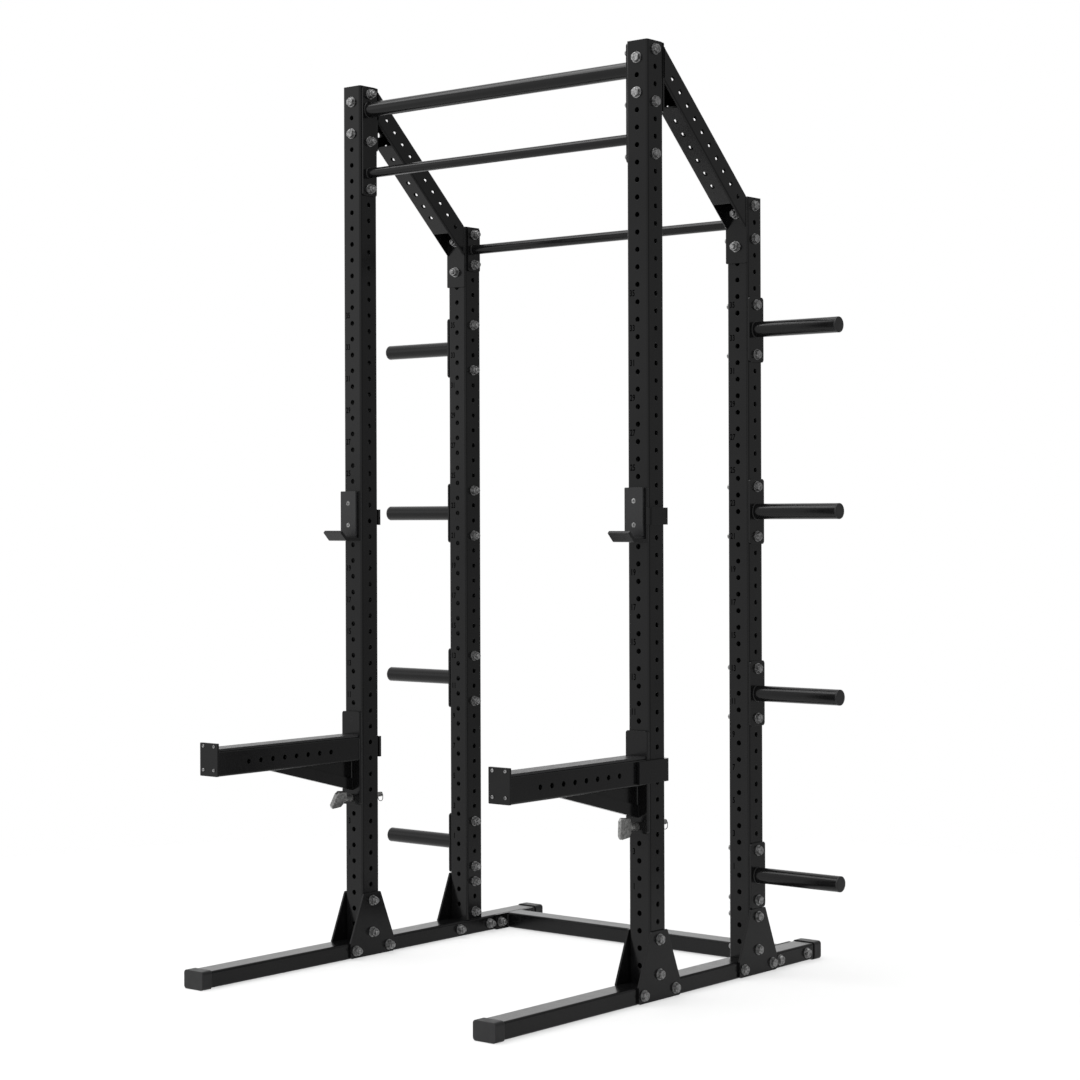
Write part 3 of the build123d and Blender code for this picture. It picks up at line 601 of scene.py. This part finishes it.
class CAGE_OT_weld_bars(bpy.types.Operator):
    """Weld the pull-up bars and the weight pegs to their plates."""
    bl_idname = "cage.weld_bars"
    bl_label = "Weld bars and pegs"

    def execute(self, context):
        coat = finish_for("black_coat")
        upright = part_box("upright_front_right")
        plate = size("gusset_rear_right").x
        inner_x = upright[0].x - plate
        for node, bars in BAR_LEVELS.items():
            y = centre(node).y

            def build(bm, y=y, bars=bars):
                for row, radius in bars:
                    for sign in (-1, 1):
                        circle_weld(bm, (sign * inner_x, y, level(row)), (-sign, 0, 0), radius)

            mesh_piece(f"{node}_welds", build, coat, "frame")

        def pegs(bm):
            for node in NODES:
                if not node.startswith("weight_peg_") or node.endswith("caps"):
                    continue
                sign = 1 if "right" in node else -1
                low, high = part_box(node)
                face = low.x + plate if sign > 0 else high.x - plate
                middle = centre(node)
                circle_weld(bm, (face, middle.y, middle.z), (sign, 0, 0), FAT_BAR_R)

        mesh_piece("weight_peg_welds", pegs, coat, "frame")
        return {"FINISHED"}


class CAGE_OT_weld_cross_tube(bpy.types.Operator):
    """Weld the rear cross tube to its flanges."""
    bl_idname = "cage.weld_cross_tube"
    bl_label = "Weld cross tube"

    def execute(self, context):
        low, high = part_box("rear_cross_tube")
        y = (low.y + high.y) / 2

        def build(bm):
            for sign in (-1, 1):
                x = sign * high.x
                for edge in (-1, 1):
                    side = y + edge * TUBE_HALF
                    line_weld(bm, (x, side, low.z + 0.006), (x, side, high.z - 0.006), (-sign, 0, 0),
                              (0, edge, 0))

        mesh_piece("rear_cross_tube_welds", build, finish_for("black_coat"), "frame")
        return {"FINISHED"}


class CAGE_OT_weld_top_rails(bpy.types.Operator):
    """Weld the slanted top rails to their end flanges."""
    bl_idname = "cage.weld_top_rails"
    bl_label = "Weld top rails"

    def execute(self, context):
        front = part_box("upright_front_right")
        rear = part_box("upright_rear_right")
        plate = size("gusset_rear_right").x
        fall = (front[1].z - rear[1].z) / (rear[0].y - front[1].y)
        depth = 2 * TUBE_HALF * math.sqrt(1 + fall * fall)

        def top_at(y):
            return front[1].z - fall * (y - front[1].y)

        def build(bm):
            for sign in (-1, 1):
                x = sign * centre("upright_front_right").x
                for y, away in ((front[1].y + plate, 1), (rear[0].y - plate, -1)):
                    top, bottom = top_at(y), top_at(y) - depth
                    for edge in (-1, 1):
                        side = x + edge * TUBE_HALF
                        line_weld(bm, (side, y, bottom + 0.008), (side, y, top - 0.008), (edge, 0, 0),
                                  (0, away, 0))
                    if away > 0:
                        line_weld(bm, (x - 0.030, y, bottom), (x + 0.030, y, bottom), (0, 0, -1),
                                  (0, away, 0))

        mesh_piece("top_rail_welds", build, finish_for("black_coat"), "frame")
        return {"FINISHED"}


class CAGE_OT_weld_spotter_arms(bpy.types.Operator):
    """Weld the spotter arms to their mount plates, and the brace under each arm."""
    bl_idname = "cage.weld_spotter_arms"
    bl_label = "Weld spotter arms"

    def execute(self, context):
        for side in SIDES:
            arm_x = centre(f"upright_front_{side}").x
            strip_low, strip_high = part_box(f"spotter_strip_{side}")
            face_y = strip_high.y
            top = strip_low.z
            bottom = top - 2 * TUBE_HALF
            brace_foot = UPRIGHT_FOOT + BRACE_FOOT
            brace_tip = face_y - BRACE_RUN

            def build(bm, arm_x=arm_x, face_y=face_y, top=top, bottom=bottom, brace_foot=brace_foot,
                      brace_tip=brace_tip):
                for edge in (-1, 1):
                    x = arm_x + edge * TUBE_HALF
                    line_weld(bm, (x, face_y, bottom + 0.007), (x, face_y, top - 0.007), (0, -1, 0),
                              (edge, 0, 0))
                    x = arm_x + edge * BRACE_HALF
                    line_weld(bm, (x, face_y, brace_foot + 0.004), (x, face_y, bottom - 0.002),
                              (edge, 0, 0), (0, -1, 0))
                    line_weld(bm, (x, face_y - 0.002, bottom), (x, brace_tip + 0.02, bottom),
                              (edge, 0, 0), (0, 0, -1))

            mesh_piece(f"spotter_arm_welds_{side}", build, finish_for("black_coat"), "frame")
        return {"FINISHED"}


class CAGE_OT_set_stage(bpy.types.Operator):
    """Lay the white floor, light the studio and place the camera."""
    bl_idname = "cage.set_stage"
    bl_label = "Set stage"

    def floor(self, stage):
        half = stage.floor_size / 2
        bm = bmesh.new()
        bmesh.ops.create_grid(bm, x_segments=8, y_segments=8, size=half)
        mesh = bpy.data.meshes.new("studio_floor")
        bm.to_mesh(mesh)
        bm.free()
        sheet = bpy.data.objects.new("studio_floor", mesh)
        bpy.context.scene.collection.objects.link(sheet)
        sheet.location = (0.0, 0.0, -0.0005)
        mesh.materials.append(make_floor())

    def world(self, stage):
        world = bpy.data.worlds.new("white_studio")
        world.use_nodes = True
        tree = world.node_tree
        background = tree.nodes["Background"]
        place = add(tree, "ShaderNodeTexCoord")
        apart = add(tree, "ShaderNodeSeparateXYZ")
        tree.links.new(place.outputs["Generated"], apart.inputs["Vector"])
        both = add(tree, "ShaderNodeMath", operation="ADD")
        tree.links.new(apart.outputs["X"], both.inputs[0])
        tree.links.new(apart.outputs["Y"], both.inputs[1])
        level_out = spread(tree, both.outputs[0], stage.studio_level, stage.far_side_level, 0.25, 0.95)
        seen = add(tree, "ShaderNodeLightPath")
        pick = add(tree, "ShaderNodeMix", data_type="FLOAT")
        floats = [s for s in pick.inputs if s.type == "VALUE"]
        floats[2].default_value = 1.0
        tree.links.new(seen.outputs["Is Camera Ray"], pick.inputs["Factor"])
        tree.links.new(level_out, floats[1])
        tree.links.new(next(s for s in pick.outputs if s.type == "VALUE"), background.inputs["Strength"])
        background.inputs["Color"].default_value = (1.0, 1.0, 1.0, 1.0)
        bpy.context.scene.world = world

    def lamp(self, name, place, target, width, power):
        light = bpy.data.lights.new(name, "AREA")
        light.shape = "SQUARE"
        light.size = width
        light.energy = power
        lamp = bpy.data.objects.new(name, light)
        bpy.context.scene.collection.objects.link(lamp)
        lamp.location = place
        lamp.rotation_euler = (Vector(target) - Vector(place)).to_track_quat("-Z", "Y").to_euler()

    def camera(self, stage):
        data = bpy.data.cameras.new("view")
        data.sensor_width = 36.0
        data.lens = stage.lens
        data.shift_y = stage.rise
        camera = bpy.data.objects.new("view", data)
        bpy.context.scene.collection.objects.link(camera)
        heading, dip, roll = stage.camera_heading, stage.camera_dip, stage.camera_roll
        level_ahead = Vector((-math.sin(heading), math.cos(heading), 0.0))
        ahead = level_ahead * math.cos(dip) - Vector((0.0, 0.0, math.sin(dip)))
        right = Vector((math.cos(heading), math.sin(heading), 0.0))
        up = right.cross(ahead)
        across = right * math.cos(roll) + up * math.sin(roll)
        above = up * math.cos(roll) - right * math.sin(roll)
        turn = Matrix((across, above, -ahead)).transposed().to_4x4()
        camera.matrix_world = Matrix.Translation(Vector(stage.camera_place)) @ turn
        bpy.context.scene.camera = camera

    def execute(self, context):
        stage = context.scene.cage_stage
        self.floor(stage)
        self.world(stage)
        middle = (CAD_LOW + CAD_HIGH) / 2
        self.lamp("overhead_softbox", (middle.x - 1.0, middle.y - 1.5, 6.5), middle, 5.0, 260.0)
        self.lamp("left_softbox", (-5.5, -4.0, 3.2), middle, 3.0, 12.0)
        self.camera(stage)
        context.scene.view_settings.view_transform = "Standard"
        return {"FINISHED"}


class CAGE_PT_sidebar(bpy.types.Panel):
    """Steps and settings of the cage's finish."""
    bl_idname = "CAGE_PT_sidebar"
    bl_label = "Power Cage"
    bl_space_type = "VIEW_3D"
    bl_region_type = "UI"
    bl_category = "Power Cage"

    def draw(self, context):
        for step in STEPS:
            self.layout.operator(step.bl_idname)
        for name, group in GROUPS.items():
            box = self.layout.box()
            settings = getattr(context.scene, name)
            for key in group.__annotations__:
                box.prop(settings, key)


GROUPS = {
    "cage_coat": CageCoatSettings,
    "cage_marks": CageMarkSettings,
    "cage_stage": CageStageSettings,
}

STEPS = (
    CAGE_OT_coat_frame, CAGE_OT_plate_fasteners, CAGE_OT_dress_plastics, CAGE_OT_finish_hitch_pins,
    CAGE_OT_cut_numbers, CAGE_OT_weld_bars, CAGE_OT_weld_cross_tube, CAGE_OT_weld_top_rails,
    CAGE_OT_weld_spotter_arms, CAGE_OT_set_stage)


def register():
    for group in GROUPS.values():
        bpy.utils.register_class(group)
    for step in STEPS:
        bpy.utils.register_class(step)
    bpy.utils.register_class(CAGE_PT_sidebar)
    for name, group in GROUPS.items():
        setattr(bpy.types.Scene, name, bpy.props.PointerProperty(type=group))


def unregister():
    for name in GROUPS:
        delattr(bpy.types.Scene, name)
    bpy.utils.unregister_class(CAGE_PT_sidebar)
    for step in reversed(STEPS):
        bpy.utils.unregister_class(step)
    for group in reversed(list(GROUPS.values())):
        bpy.utils.unregister_class(group)


def main():
    register()
    for step in STEPS:
        family, name = step.bl_idname.split(".")
        getattr(getattr(bpy.ops, family), name)()


if __name__ == "__main__":
    main()
